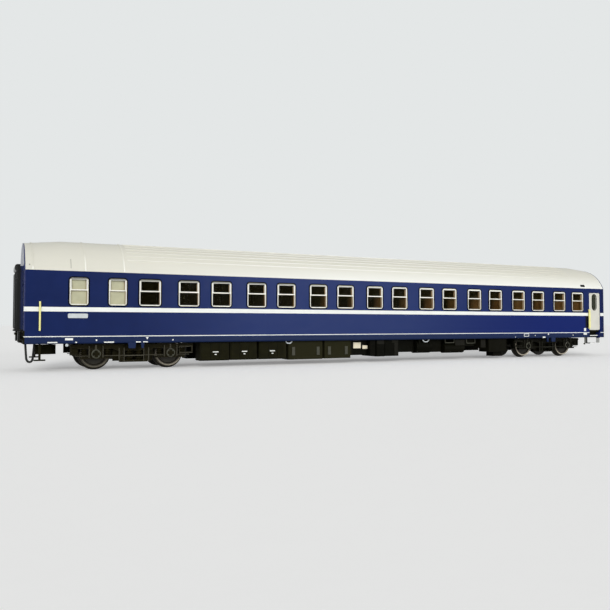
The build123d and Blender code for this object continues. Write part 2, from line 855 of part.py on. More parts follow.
# Bogie, drawn about its pivot: frame with side beams, end loops, transoms, bolster, links and spring planks
guard_base_z = bogie_top_z - guard_drop
guard_start_x = axle_x + wing_length / 2
with BuildPart() as bogie_frame:
    with BuildSketch(Plane.XZ.offset(beam_in)):
        with BuildLine():
            Polyline(
                (0, bogie_top_z),
                (bogie_end_x, bogie_top_z),
                (bogie_end_x, beam_tip_z),
                (guard_start_x, beam_base_z),
                (beam_centre_length / 2 + beam_height, beam_base_z),
                (beam_centre_length / 2, centre_base_z),
                (0, centre_base_z),
            )
            mirror(about=Plane.YZ)
        make_face()
    extrude(amount=beam_width)
    for way in (-1, 1):
        with BuildSketch(Plane.XZ.offset(beam_mid_y - guard_thickness)):
            with BuildLine():
                Polyline(
                    (way * bogie_end_x, bogie_top_z),
                    (way * bogie_end_x, guard_base_z),
                    (way * guard_start_x, guard_base_z),
                    (way * guard_start_x, guard_base_z + guard_thickness),
                    (way * (bogie_end_x - guard_thickness), guard_base_z + guard_thickness),
                    (way * (bogie_end_x - guard_thickness), bogie_top_z),
                    close=True,
                )
            make_face()
        extrude(amount=2 * guard_thickness)
        link_x = way * (plank_length - link_width) / 2
        block(
            (link_x - link_width / 2, link_x + link_width / 2),
            (-beam_out, -beam_in),
            (plank_base_z, centre_base_z),
        )
    block((-plank_length / 2, plank_length / 2), (-beam_out, -beam_in), (plank_base_z, plank_top_z))
    mirror(about=Plane.XZ)
    for x in (-transom_face_x, transom_face_x - transom_width):
        block((x, x + transom_width), (-beam_in, beam_in), (centre_base_z, bogie_top_z - fit))
    for x in (-end_beam_face_x - end_beam_width, end_beam_face_x):
        block((x, x + end_beam_width), (-beam_in, beam_in), (beam_tip_z, bogie_top_z))
    block((-transom_face_x, transom_face_x), (-beam_in, beam_in), (beam_base_z, bogie_top_z))
    block((-bolster_length / 2, bolster_length / 2), (-wheel_out, wheel_out), (bolster_base_z, bogie_top_z))
    block((-cross_plank_width / 2, cross_plank_width / 2), (-beam_in, beam_in), (plank_base_z, plank_top_z))
    post(pivot_pin_diameter + 2 * pivot_play, 0, 0, (bolster_base_z, bogie_top_z), Mode.SUBTRACT)

# Axle boxes with wings under the springs, a round cover and a blind bore for the journal
axle_box_top_z = beam_base_z - axle_box_gap
with BuildPart() as axle_boxes:
    for x in (-axle_x, axle_x):
        block(
            (x - axle_box_width / 2, x + axle_box_width / 2),
            (-axle_box_out, -axle_box_in),
            (axle_box_base_z, axle_box_top_z),
        )
        block(
            (x - wing_length / 2, x + wing_length / 2),
            (-beam_out, -beam_in),
            (axle_box_base_z, wing_top_z),
        )
        with BuildSketch(Plane.XZ.offset(axle_box_out)):
            with Locations((x, axle_z)):
                Circle(axle_cover_diameter / 2)
        extrude(amount=axle_cover)
        with BuildSketch(Plane.XZ.offset(axle_box_in)):
            with Locations((x, axle_z)):
                Circle(journal_diameter / 2 + pivot_play)
        extrude(amount=journal_reach + pivot_play - axle_box_in, mode=Mode.SUBTRACT)
    mirror(about=Plane.XZ)

# Coil springs over the axle box wings and under the side beams' middle
with BuildPart() as bogie_springs:
    for x in (-axle_x, axle_x):
        for offset in (-spring_offset, spring_offset):
            post(spring_diameter, x + offset, -beam_mid_y, (wing_top_z, beam_base_z))
    for x in (-bolster_spring_spacing / 2, bolster_spring_spacing / 2):
        post(bolster_spring_diameter, x, -beam_mid_y, (plank_top_z, centre_base_z))
    mirror(about=Plane.XZ)

# Brake gear: a curved shoe on a hanger at each side of each wheel
shoe_in = tread_radius + shoe_gap
shoe_out = shoe_in + shoe_thickness
SHOES = (
    # wheel, way from the wheel's middle to the shoe, face that carries the hanger
    (axle_x, 1, end_beam_face_x),
    (axle_x, -1, transom_face_x),
    (-axle_x, 1, -transom_face_x),
    (-axle_x, -1, -end_beam_face_x),
)
with BuildPart() as brake_gear:
    for wheel_x, way, seat_x in SHOES:
        with BuildSketch(Plane.XZ.offset(wheel_out - shoe_width)):
            with Locations((wheel_x + way * shoe_in, axle_z)):
                Rectangle(2 * shoe_thickness, shoe_height)
            with Locations((wheel_x, axle_z)):
                Circle(shoe_in, mode=Mode.SUBTRACT)
                Circle(shoe_out, mode=Mode.INTERSECT)
        extrude(amount=shoe_width)
        block(
            sorted((wheel_x + way * (shoe_out - shoe_thickness / 2), seat_x)),
            (-wheel_out, -wheel_out + shoe_width),
            (axle_z - hanger_drop, bogie_top_z - fit),
        )
    mirror(about=Plane.XZ)

BOGIE_PIECES = (
    (bogie_frame, "bogie_frame"),
    (axle_boxes, "axle_boxes"),
    (bogie_springs, "bogie_springs"),
    (brake_gear, "brake_gear"),
)
for end, way in ENDS:
    for piece, name in BOGIE_PIECES:
        with BuildPart() as placed:
            with Locations((way * pivot_x, 0, 0)):
                add(piece.part)
        save(placed, f"{name}_{end}")

# Wheelset, drawn about its axle: two flanged wheels and a stepped axle
with BuildPart() as wheel_pair:
    with BuildSketch(Plane.YZ):
        with BuildLine():
            Polyline(
                (wheel_back, axle_diameter / 2),
                (wheel_back, flange_radius),
                (wheel_back + flange_tip, flange_radius),
                (wheel_back + flange_width, tread_radius),
                (wheel_out, tread_radius - tread_taper),
                (wheel_out, tread_radius - rim_thickness),
                (wheel_out - disc_recess, tread_radius - rim_thickness - disc_recess),
                (wheel_out - disc_recess, axle_diameter / 2),
                close=True,
            )
        make_face()
    revolve(axis=Axis.Y)
    mirror(about=Plane.XZ)

with BuildPart() as axle:
    with BuildSketch(Plane.YZ):
        with BuildLine():
            Polyline(
                (0, 0),
                (0, axle_diameter / 2),
                (wheel_out, axle_diameter / 2),
                (wheel_out, journal_diameter / 2),
                (journal_reach, journal_diameter / 2),
                (journal_reach, 0),
                close=True,
            )
        make_face()
    revolve(axis=Axis.Y)
    mirror(about=Plane.XZ)

axle_places = [way * pivot_x + offset for _, way in ENDS for offset in (axle_x, -axle_x)]
for number, x in enumerate(axle_places, start=1):
    for piece, name in ((wheel_pair, "wheels"), (axle, "axle")):
        with BuildPart() as placed:
            with Locations((x, 0, axle_z)):
                add(piece.part)
        save(placed, f"{name}_{number}")

# Couplers: a swinging bar with an eye on the pivot pin and an open socket at its tip
socket_z = (coupler_base_z + coupler_top_z) / 2
coupler_z = (coupler_base_z, coupler_top_z)
with BuildPart() as coupler:
    post(coupler_eye_diameter, coupler_pivot_x, 0, coupler_z)
    block((coupler_pivot_x, coupler_end_x), (-coupler_width / 2, coupler_width / 2), coupler_z)
    post(coupler_pin_diameter + 2 * coupler_play, coupler_pivot_x, 0, coupler_z, Mode.SUBTRACT)
    block(
        (coupler_end_x - socket_depth, coupler_end_x),
        (-socket_width / 2, socket_width / 2),
        (socket_z - socket_height / 2, socket_z + socket_height / 2),
        Mode.SUBTRACT,
    )
save_ends(coupler, "coupler")
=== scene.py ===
import json
import math

import bmesh
import bpy
from mathutils import Matrix, Vector


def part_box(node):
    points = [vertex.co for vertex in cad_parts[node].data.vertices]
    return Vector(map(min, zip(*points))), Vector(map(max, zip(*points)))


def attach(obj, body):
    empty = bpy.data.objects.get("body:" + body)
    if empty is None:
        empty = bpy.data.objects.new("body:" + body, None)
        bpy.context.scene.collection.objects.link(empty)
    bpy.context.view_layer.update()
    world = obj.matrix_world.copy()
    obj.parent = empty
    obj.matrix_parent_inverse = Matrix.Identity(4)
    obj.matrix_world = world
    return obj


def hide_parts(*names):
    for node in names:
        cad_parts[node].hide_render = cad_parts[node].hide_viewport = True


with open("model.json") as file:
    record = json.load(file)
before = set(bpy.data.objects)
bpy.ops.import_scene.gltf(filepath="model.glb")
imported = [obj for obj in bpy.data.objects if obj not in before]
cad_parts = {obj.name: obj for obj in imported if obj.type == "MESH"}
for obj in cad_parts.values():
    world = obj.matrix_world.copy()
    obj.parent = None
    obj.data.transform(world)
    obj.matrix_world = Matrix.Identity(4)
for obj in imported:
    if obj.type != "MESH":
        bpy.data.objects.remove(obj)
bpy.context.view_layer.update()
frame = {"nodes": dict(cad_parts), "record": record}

scene = bpy.context.scene
MM = 0.001

# Photograph: 610 x 610 pixels, focal length in pixels, the optical axis one pixel above the middle
image_size = 610
focal_pixels = 651.07
axis_above_middle = 1.0
sensor_width = 36.0
camera_place = (-162.05 * MM, -271.58 * MM, 17.45 * MM)
camera_yaw = 26.07
camera_pitch = 1.806

# Places taken from the frame
door_low, door_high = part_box("entrance_door_right")
frames_low, frames_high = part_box("window_frames_right")
body_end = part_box("end_wall_front")[1].x
side_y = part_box("end_wall_front")[1].y
sill_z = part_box("headstock_front")[0].z
eaves_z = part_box("side_wall_right")[1].z
equipment_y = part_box("battery_boxes")[0].y
wheel_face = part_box("wheels_1")[1].y
pivot_x = {joint["child"]: joint["pos_m"][0] for joint in frame["record"]["behaviour"]["joints"]}

# Roof arch over its middle stretch
roof_rise = 12.5 * MM
roof_radius = (side_y**2 + roof_rise**2) / (2 * roof_rise)
roof_centre_z = eaves_z + roof_rise - roof_radius

# Printed decoration, heights from the flanges' lowest points
print_thickness = 0.03 * MM
waist_stripe = (22.24 * MM, 23.92 * MM)
sill_line = (12.87 * MM, 13.17 * MM)
doorway_gap = 0.05 * MM
sign_bar = 0.28 * MM
sign_corner = 0.1 * MM
plate_corner = 0.4 * MM
plate_thickness = 0.12 * MM

# Tables in millimetres. Bare plates on the photographed side: x from and to, z from and to
SIDE_PLATES = (
    (-141.9, -138.5, 10.62, 11.05),
    (-135.85, -133.05, 11.60, 12.40),
    (-121.9, -118.2, 10.55, 10.98),
    (-109.9, -108.0, 10.55, 10.92),
    (-107.2, -105.3, 10.55, 10.92),
    (103.35, 105.25, 10.40, 11.05),
    (134.3, 135.9, 13.90, 15.50),
    (133.95, 136.5, 11.85, 12.70),
)
NAME_PLATE = (-134.95, -127.85, 19.85, 21.54)
# Blank outlined sign on the side, the same columns
SIGN_OUTLINE = (90.15, 93.60, 11.15, 12.75)
# Round marks on the side: x, z, diameter
SIDE_DOTS = (
    (-124.65, 11.52, 0.6),
    (-95.45, 11.42, 0.55),
    (84.25, 10.95, 0.45),
    (98.05, 11.65, 0.5),
    (107.55, 12.30, 0.9),
    (125.9, 11.70, 0.55),
)
# Wedge marks on the side, pointing down: x, z of the upper edge, width, height
SIDE_WEDGES = ((-131.9, 11.0, 0.9, 0.55), (-105.6, 12.6, 1.1, 0.95))
# Levels of the stiles between the rails of a window frame: z from and to
STILE_LEVELS = ((25.5, 30.1), (30.7, 34.3))
# Plates on the middle panel of each battery box: x of the middle
BATTERY_PLATES = (-77.15, -64.5, -51.75)
# Pale covers in the recess between the boxes: x from and to, z from and to
RECESS_COVERS = ((-10.6, -6.6, 6.5, 9.25), (-5.75, -3.0, 6.2, 7.85))
# Hooks under the solebar, open at the top: x from and to, lowest z
SOLEBAR_HOOKS = ((-45.4, -42.6, 9.3), (26.9, 30.5, 9.1))
# Rectangular brackets under the solebar: x from and to, lowest z
SOLEBAR_BRACKETS = ((40.3, 45.7, 8.5), (53.6, 58.9, 8.15))
# Covers on the underfloor boxes: x from and to, z from and to
BOX_COVERS = (
    (0.9, 4.9, 8.4, 10.1),
    (9.3, 12.7, 8.9, 10.2),
    (10.65, 12.5, 3.2, 8.7),
    (46.5, 52.2, 7.15, 9.7),
    (62.8, 65.7, 6.05, 9.4),
)


def scaled(row):
    """A row of a table in metres."""
    return [value * MM for value in row]


def grown(span, margin):
    """A (low, high) span that reaches further by a margin at both ends."""
    return (span[0] - margin, span[1] + margin)


def around(middle, half):
    """The (low, high) span that reaches half to both sides of a middle."""
    return (middle - half, middle + half)


def mirrored(way, first, second):
    """The (low, high) span between two distances from the middle, on the side that way gives."""
    return sorted((way * first, way * second))


def srgb(red, green, blue):
    """A colour of the 0 to 255 scale as linear red, green, blue and full alpha."""
    def linear(value):
        value /= 255
        return value / 12.92 if value <= 0.04045 else ((value + 0.055) / 1.055) ** 2.4
    return (linear(red), linear(green), linear(blue), 1.0)


def shade(colour, factor):
    """A colour made darker or paler by a factor."""
    return tuple(min(1.0, channel * factor) for channel in colour[:3]) + (1.0,)


class Surface:
    """A principled material whose colour, gloss and grain vary in the object's own space."""

    def __init__(self, name, colour, roughness, metallic=0.0, specular=0.5):
        self.material = bpy.data.materials.new(name)
        self.material.use_nodes = True
        self.nodes = self.material.node_tree.nodes
        self.links = self.material.node_tree.links
        self.shader = self.nodes["Principled BSDF"]
        self.shader.inputs["Metallic"].default_value = metallic
        self.shader.inputs["Specular IOR Level"].default_value = specular
        self.space = self.nodes.new("ShaderNodeTexCoord").outputs["Object"]
        self.colour = colour
        self.roughness = roughness
        self.patches = []

    def noise(self, size, detail=3.0, stretch=(1, 1, 1)):
        """Noise from 0 to 1 whose features are about size metres across."""
        mapping = self.nodes.new("ShaderNodeMapping")
        mapping.inputs["Scale"].default_value = [1 / (size * factor) for factor in stretch]
        self.links.new(self.space, mapping.inputs["Vector"])
        texture = self.nodes.new("ShaderNodeTexNoise")
        texture.inputs["Scale"].default_value = 1.0
        texture.inputs["Detail"].default_value = detail
        self.links.new(mapping.outputs["Vector"], texture.inputs["Vector"])
        return texture.outputs["Fac"]

    def ranged(self, value, low, high, from_low=0.3, from_high=0.7):
        """A value between from_low and from_high, mapped to the range from low to high."""
        node = self.nodes.new("ShaderNodeMapRange")
        node.inputs["From Min"].default_value = from_low
        node.inputs["From Max"].default_value = from_high
        node.inputs["To Min"].default_value = low
        node.inputs["To Max"].default_value = high
        self.links.new(value, node.inputs["Value"])
        return node.outputs["Result"]

    def mixed(self, factor, first, second):
        """A colour between two, each a constant or a socket."""
        node = self.nodes.new("ShaderNodeMix")
        node.data_type = "RGBA"
        self.links.new(factor, node.inputs[0])
        for socket, value in ((node.inputs[6], first), (node.inputs[7], second)):
            if isinstance(value, tuple):
                socket.default_value = value
            else:
                self.links.new(value, socket)
        return node.outputs[2]

    def along(self, axis, start, stop):
        """0 up to the place start along an axis of the frame, 1 from stop on."""
        split = self.nodes.new("ShaderNodeSeparateXYZ")
        self.links.new(self.space, split.inputs[0])
        return self.ranged(split.outputs[axis], 0.0, 1.0, start, stop)

    def both(self, first, second):
        """1 where both factors are 1."""
        node = self.nodes.new("ShaderNodeMath")
        node.operation = "MULTIPLY"
        self.links.new(first, node.inputs[0])
        self.links.new(second, node.inputs[1])
        return node.outputs["Value"]

    def within(self, axis, start, full, last, stop):
        """1 from the place full to last along an axis of the frame, 0 before start and after stop."""
        return self.both(self.along(axis, start, full), self.along(axis, stop, last))

    def beyond(self, middle_z, start, stop):
        """0 up to the distance start from the lengthwise line at middle_z, 1 from stop on."""
        moved = self.nodes.new("ShaderNodeVectorMath")
        moved.operation = "MULTIPLY_ADD"
        moved.inputs[1].default_value = (0, 1, 1)
        moved.inputs[2].default_value = (0, 0, -middle_z)
        self.links.new(self.space, moved.inputs[0])
        length = self.nodes.new("ShaderNodeVectorMath")
        length.operation = "LENGTH"
        self.links.new(moved.outputs["Vector"], length.inputs[0])
        return self.ranged(length.outputs["Value"], 0.0, 1.0, start, stop)

    def edges(self, radius, low, high):
        """low on flat faces, rising to high near edges, within about radius of them."""
        bevel = self.nodes.new("ShaderNodeBevel")
        bevel.inputs["Radius"].default_value = radius
        geometry = self.nodes.new("ShaderNodeNewGeometry")
        dot = self.nodes.new("ShaderNodeVectorMath")
        dot.operation = "DOT_PRODUCT"
        self.links.new(bevel.outputs["Normal"], dot.inputs[0])
        self.links.new(geometry.outputs["Normal"], dot.inputs[1])
        return self.ranged(dot.outputs["Value"], high, low, 0.86, 0.99)

    def patch(self, factor, colour):
        """Another colour where factor is 1."""
        self.patches.append((factor, colour))

    def finish(self, spread, cloud, gloss_spread, grain, bump, edge_wear_and_painted_light=None, stretch=(1, 1, 1)):
        """Clouded colour, uneven gloss, a fine grain, and edges in another colour where one is given: worn
        edges on some materials, and painted edge shade and painted edge highlights on others.
        """
        tint = self.mixed(
            self.ranged(self.noise(cloud, 4.0, stretch), 0.0, 1.0),
            shade(self.colour, 1 - spread),
            shade(self.colour, 1 + spread),
        )
        if edge_wear_and_painted_light:
            tint = self.mixed(self.edges(0.15 * MM, 0.0, 0.7), tint, edge_wear_and_painted_light)
        for factor, colour in self.patches:
            tint = self.mixed(factor, tint, colour)
        self.links.new(tint, self.shader.inputs["Base Color"])
        rough = self.ranged(
            self.noise(cloud / 2, 3.0, stretch), self.roughness - gloss_spread, self.roughness + gloss_spread
        )
        self.links.new(rough, self.shader.inputs["Roughness"])
        node = self.nodes.new("ShaderNodeBump")
        node.inputs["Strength"].default_value = bump
        node.inputs["Distance"].default_value = grain / 4
        self.links.new(self.noise(grain, 2.0, stretch), node.inputs["Height"])
        self.links.new(node.outputs["Normal"], self.shader.inputs["Normal"])
        return self.material


def blue_paint():
    """Side paint with painted light: a painted sheen makes it paler amidships and fades ahead, where the blue
    below the stripe is painted stronger; painted shade darkens it past the door, and a painted shadow of the
    rail darkens the recess beside the door.
    """
    paint = Surface("blue_paint", srgb(15, 32, 80), 0.36, specular=0.08)
    # Painted sheen: paler amidships
    paint.patch(paint.along(0, -110 * MM, -60 * MM), srgb(34, 50, 101))
    # Ahead the painted sheen fades into a stronger blue below the stripe, which is also painted light
    ahead = paint.along(0, 20 * MM, 110 * MM)
    paint.patch(ahead, srgb(16, 33, 86))
    paint.patch(paint.both(ahead, paint.along(2, 23.5 * MM, 22.5 * MM)), srgb(10, 31, 99))
    paint.patch(paint.along(2, sill_line[0], sill_line[0] - 0.5 * MM), srgb(24, 38, 73))
    # Painted shade past the door
    paint.patch(paint.along(0, door_high.x, door_high.x + 1 * MM), srgb(8, 24, 70))
    # Painted shadow of the rail in the recess beside the door
    beside_door = paint.within(
        0, door_low.x - 3.3 * MM, door_low.x - 2.9 * MM, door_low.x - 0.1 * MM, door_low.x
    )
    behind_rail = paint.within(2, 15.4 * MM, 15.8 * MM, 22.2 * MM, 22.6 * MM)
    paint.patch(paint.both(beside_door, behind_rail), srgb(8, 12, 26))
    return paint.finish(0.08, 6 * MM, 0.05, 0.25 * MM, 0.05)


def end_blue():
    """Paint of the end walls, with painted shade on their edges."""
    return Surface("end_blue", srgb(24, 36, 88), 0.25, specular=0.5).finish(
        0.10, 6 * MM, 0.05, 0.25 * MM, 0.04, edge_wear_and_painted_light=srgb(12, 20, 44)
    )


def roof_silver():
    """Roof paint with painted highlights: paler towards the eaves from amidships forward, on the raised ribs
    amidships, and on the raised seams low on the roof near the rear end.
    """
    silver = Surface("roof_silver", srgb(221, 219, 206), 0.5, specular=0.35)
    # Painted highlight towards the eaves, from amidships forward
    low = silver.along(2, eaves_z + 7 * MM, eaves_z)
    silver.patch(silver.both(low, silver.along(0, -120 * MM, -20 * MM)), srgb(241, 241, 234))
    # Painted highlights on the raised ribs amidships
    raised = silver.beyond(roof_centre_z, roof_radius + 0.03 * MM, roof_radius + 0.1 * MM)
    middle = silver.within(0, -135 * MM, -50 * MM, 20 * MM, 130 * MM)
    silver.patch(silver.both(raised, middle), srgb(250, 249, 243))
    # Painted highlights on the raised seams low on the roof near the rear end
    rear_end = silver.along(0, -110 * MM, -113 * MM)
    seam_highlights = silver.both(rear_end, silver.along(2, eaves_z + 7 * MM, eaves_z + 3 * MM))
    silver.patch(silver.both(raised, seam_highlights), srgb(244, 243, 234))
    return silver.finish(0.025, 12 * MM, 0.05, 0.2 * MM, 0.05, stretch=(6, 1, 1))


def frame_silver():
    """Window frames with painted shade on the stiles and a painted shadow on the top rails towards the rear,
    and reveals in the wall that are tan, dark brown along their top as painted shade.
    """
    silver = Surface("frame_silver", srgb(226, 225, 214), 0.4, metallic=0.1)
    # Painted shade on the stiles
    for row in STILE_LEVELS:
        low, high = scaled(row)
        stiles = silver.within(2, low, low + 0.1 * MM, high - 0.1 * MM, high)
        silver.patch(stiles, srgb(214, 213, 204))
    # Painted shadow on the top rails towards the rear
    top_rail = silver.along(2, frames_high.z - 0.75 * MM, frames_high.z - 0.65 * MM)
    towards_rear = silver.along(0, 50 * MM, -60 * MM)
    silver.patch(silver.both(top_rail, towards_rear), srgb(122, 122, 114))
    # Reveals in the wall: dark brown along their top as painted shade, tan below it
    reveals = silver.within(1, -side_y, -side_y + 0.02 * MM, side_y - 0.02 * MM, side_y)
    silver.patch(reveals, srgb(52, 45, 34))
    below_top = silver.along(2, frames_high.z - 1.2 * MM, frames_high.z - 1.3 * MM)
    silver.patch(silver.both(reveals, below_top), srgb(206, 176, 134))
    return silver.finish(0.05, 2 * MM, 0.06, 0.2 * MM, 0.04)


def white_print():
    return Surface("white_print", srgb(238, 240, 235), 0.5, specular=0.3).finish(
        0.03, 5 * MM, 0.05, 0.2 * MM, 0.03
    )


def plate_grey():
    return Surface("plate_grey", srgb(200, 206, 207), 0.45, specular=0.3).finish(
        0.05, 1 * MM, 0.05, 0.2 * MM, 0.04
    )


def cover_cream():
    return Surface("cover_cream", srgb(232, 222, 196), 0.5, specular=0.2).finish(
        0.05, 1 * MM, 0.05, 0.2 * MM, 0.06
    )


def plate_shade():
    return Surface("plate_shade", srgb(158, 155, 145), 0.55, specular=0.3).finish(
        0.05, 1 * MM, 0.05, 0.2 * MM, 0.04
    )


def gasket_black():
    return Surface("gasket_black", srgb(7, 7, 9), 0.6, specular=0.04).finish(
        0.2, 1 * MM, 0.06, 0.15 * MM, 0.06
    )


def clear_glass():
    """Nearly clear window panes and dense grey door panes."""
    glass = Surface("clear_glass", srgb(58, 54, 24), 0.08, specular=0.05)
    by_door = glass.along(0, door_low.x, door_low.x + 0.2 * MM)
    glass.patch(by_door, srgb(56, 58, 48))
    glass.links.new(glass.ranged(by_door, 0.06, 0.9, 0.0, 1.0), glass.shader.inputs["Alpha"])
    return glass.finish(0.05, 4 * MM, 0.03, 1.5 * MM, 0.03)


def frosted_cream():
    return Surface("frosted_cream", srgb(182, 181, 151), 0.42, specular=0.3).finish(
        0.06, 3 * MM, 0.06, 0.15 * MM, 0.06
    )


def door_grey():
    return Surface("door_grey", srgb(212, 210, 199), 0.45, specular=0.3).finish(
        0.04, 4 * MM, 0.05, 0.2 * MM, 0.05, edge_wear_and_painted_light=srgb(236, 235, 228)
    )


def step_grey():
    """Pale steps with a dark inner end and a blue lining at the outer end."""
    metal = Surface("step_grey", srgb(222, 223, 220), 0.5, specular=0.3)
    metal.patch(metal.along(0, door_low.x + 0.75 * MM, door_low.x + 0.7 * MM), srgb(30, 30, 27))
    outer = metal.along(0, door_high.x - 2 * MM, door_high.x - 1.9 * MM)
    metal.patch(metal.both(metal.along(2, 9.9 * MM, 10.0 * MM), outer), srgb(15, 28, 86))
    return metal.finish(0.06, 2 * MM, 0.07, 0.2 * MM, 0.08)


def handle_grey():
    return Surface("handle_grey", srgb(66, 66, 55), 0.55, specular=0.2).finish(
        0.15, 1 * MM, 0.07, 0.15 * MM, 0.1, edge_wear_and_painted_light=srgb(96, 96, 84)
    )


def black_plastic():
    """Underfloor plastic, paler and browner on the boxes amidships, and black from the recess between them
    forward as painted shade.
    """
    plastic = Surface("black_plastic", srgb(25, 24, 10), 0.6, specular=0.04)
    plastic.patch(plastic.along(0, -47 * MM, -42 * MM), srgb(37, 36, 20))
    # Painted shade: black from the recess between the boxes forward, a little less dark further ahead
    plastic.patch(plastic.along(0, -13 * MM, -11 * MM), srgb(9, 9, 4))
    plastic.patch(plastic.along(0, 25 * MM, 60 * MM), srgb(16, 15, 8))
    return plastic.finish(0.25, 3 * MM, 0.08, 0.18 * MM, 0.12, edge_wear_and_painted_light=srgb(46, 46, 38))


def bogie_black():
    """Bogie plastic, brown at the rear, with painted shade that darkens it ahead and paler edges that are
    painted highlights.
    """
    plastic = Surface("bogie_black", srgb(26, 23, 9), 0.55, specular=0.04)
    # Painted shade ahead
    plastic.patch(plastic.along(0, 0, 50 * MM), srgb(13, 12, 6))
    return plastic.finish(0.3, 2 * MM, 0.08, 0.18 * MM, 0.12, edge_wear_and_painted_light=srgb(88, 84, 70))


def worn_grey():
    """Bogie trim in a pale grey that paints highlights, with painted shade that darkens it ahead."""
    grey = Surface("worn_grey", srgb(70, 67, 56), 0.5, specular=0.1)
    # Painted shade ahead
    grey.patch(grey.along(0, 0, 50 * MM), srgb(38, 37, 29))
    return grey.finish(0.2, 1 * MM, 0.07, 0.15 * MM, 0.1)


def locker_grey():
    return Surface("locker_grey", srgb(22, 21, 15), 0.55, specular=0.08).finish(
        0.2, 2 * MM, 0.07, 0.2 * MM, 0.1, edge_wear_and_painted_light=srgb(60, 58, 48)
    )


def buffer_black():
    return Surface("buffer_black", srgb(15, 15, 13), 0.5, specular=0.2).finish(
        0.2, 2 * MM, 0.06, 0.2 * MM, 0.06, edge_wear_and_painted_light=srgb(50, 50, 44)
    )


def black_rubber():
    return Surface("black_rubber", srgb(17, 17, 14), 0.42, specular=0.3).finish(
        0.25, 3 * MM, 0.08, 0.3 * MM, 0.10, edge_wear_and_painted_light=srgb(44, 45, 38), stretch=(1, 1, 3)
    )


def tube_rubber():
    """Gangway rubber with a painted web next to the end wall."""
    rubber = Surface("tube_rubber", srgb(6, 7, 4), 0.24, specular=0.3)
    for way in (-1, 1):
        start, full, last, stop = (
            way * (body_end + place) for place in (-1 * MM, 0, 0.9 * MM, 0.95 * MM)
        )
        rubber.patch(rubber.within(0, start, full, last, stop), srgb(30, 42, 84))
    return rubber.finish(0.25, 3 * MM, 0.06, 0.3 * MM, 0.08, stretch=(1, 1, 3))


def wheel_steel():
    return Surface("wheel_steel", srgb(36, 33, 26), 0.45, metallic=0.3, specular=0.25).finish(
        0.2, 1.5 * MM, 0.08, 0.15 * MM, 0.06, edge_wear_and_painted_light=srgb(104, 97, 85)
    )


def tread_steel():
    """Wheel treads with painted shade ahead, and rims whose painted highlights grow brighter ahead."""
    steel = Surface("tread_steel", srgb(95, 90, 78), 0.36, metallic=0.3, specular=0.25)
    # Painted shade ahead
    steel.patch(steel.along(0, 0, 50 * MM), srgb(40, 37, 30))
    # Painted highlights on the rims, brighter ahead
    ahead = steel.along(0, -125 * MM, -40 * MM)
    for way in (-1, 1):
        rim = steel.along(1, way * wheel_face, way * (wheel_face + 0.02 * MM))
        steel.patch(steel.both(ahead, rim), srgb(196, 186, 168))
    return steel.finish(0.2, 1.5 * MM, 0.08, 0.12 * MM, 0.06)


def axle_steel():
    return Surface("axle_steel", srgb(80, 78, 72), 0.4, metallic=0.8).finish(
        0.12, 1.5 * MM, 0.07, 0.12 * MM, 0.06
    )


def ballast_steel():
    return Surface("ballast_steel", srgb(120, 120, 118), 0.4, metallic=0.8).finish(
        0.08, 4 * MM, 0.07, 0.2 * MM, 0.05, stretch=(6, 1, 1)
    )


def cabin_wood():
    """Partitions with painted light: bright by the windows, with painted shade deeper in, above and towards
    the rear.
    """
    wood = Surface("cabin_wood", srgb(254, 182, 108), 0.5, specular=0.2)
    # Painted shade deeper in from the windows
    wood.patch(wood.along(1, -11.5 * MM, -4.5 * MM), srgb(36, 26, 10))
    # Painted shade above
    wood.patch(wood.along(2, 29 * MM, 31.5 * MM), srgb(124, 108, 70))
    # Painted shade towards the rear
    wood.patch(wood.along(0, 85 * MM, -75 * MM), srgb(34, 28, 20))
    return wood.finish(0.15, 2 * MM, 0.06, 0.2 * MM, 0.06, stretch=(1, 1, 8))


# Corridor wall: the partitions' wood darkened as painted shade
def cabin_dark():
    return Surface("cabin_dark", srgb(34, 28, 20), 0.6, specular=0.2).finish(
        0.15, 2 * MM, 0.06, 0.2 * MM, 0.06, stretch=(1, 1, 8)
    )


def cabin_floor():
    return Surface("cabin_floor", srgb(44, 36, 26), 0.6, specular=0.2).finish(
        0.15, 3 * MM, 0.08, 0.3 * MM, 0.08
    )


def berth_cloth():
    return Surface("berth_cloth", srgb(74, 46, 26), 0.75, specular=0.2).finish(
        0.12, 1 * MM, 0.05, 0.25 * MM, 0.15
    )


def rail_yellow():
    return Surface("rail_yellow", srgb(246, 240, 156), 0.45, specular=0.3).finish(
        0.06, 1 * MM, 0.05, 0.15 * MM, 0.05
    )


MATERIALS = {
    builder.__name__: builder()
    for builder in (
        blue_paint, end_blue, roof_silver, frame_silver, clear_glass, frosted_cream, door_grey, step_grey,
        black_plastic, bogie_black, buffer_black, black_rubber, tube_rubber, wheel_steel, axle_steel,
        ballast_steel, cabin_wood, cabin_dark, cabin_floor, berth_cloth, rail_yellow, white_print, plate_grey,
        cover_cream, plate_shade, gasket_black, handle_grey, worn_grey, locker_grey, tread_steel,
    )
}

# Every solid takes the material of its slot, and a few have their own
OWN_MATERIALS = {"cabinet_handles": "handle_grey", "corridor_wall": "cabin_dark"}
for end in ("front", "rear"):
    OWN_MATERIALS[f"end_wall_{end}"] = "end_blue"
    OWN_MATERIALS[f"gangway_tubes_{end}"] = "tube_rubber"
    for name in ("bogie_frame", "axle_boxes", "bogie_springs", "brake_gear"):
        OWN_MATERIALS[f"{name}_{end}"] = "bogie_black"
for subpart in frame["record"]["subparts"]:
    node = subpart["node"]
    solid = frame["nodes"][node]
    solid.data.materials.clear()
    solid.data.materials.append(MATERIALS[OWN_MATERIALS.get(node, subpart["material_slot"])])


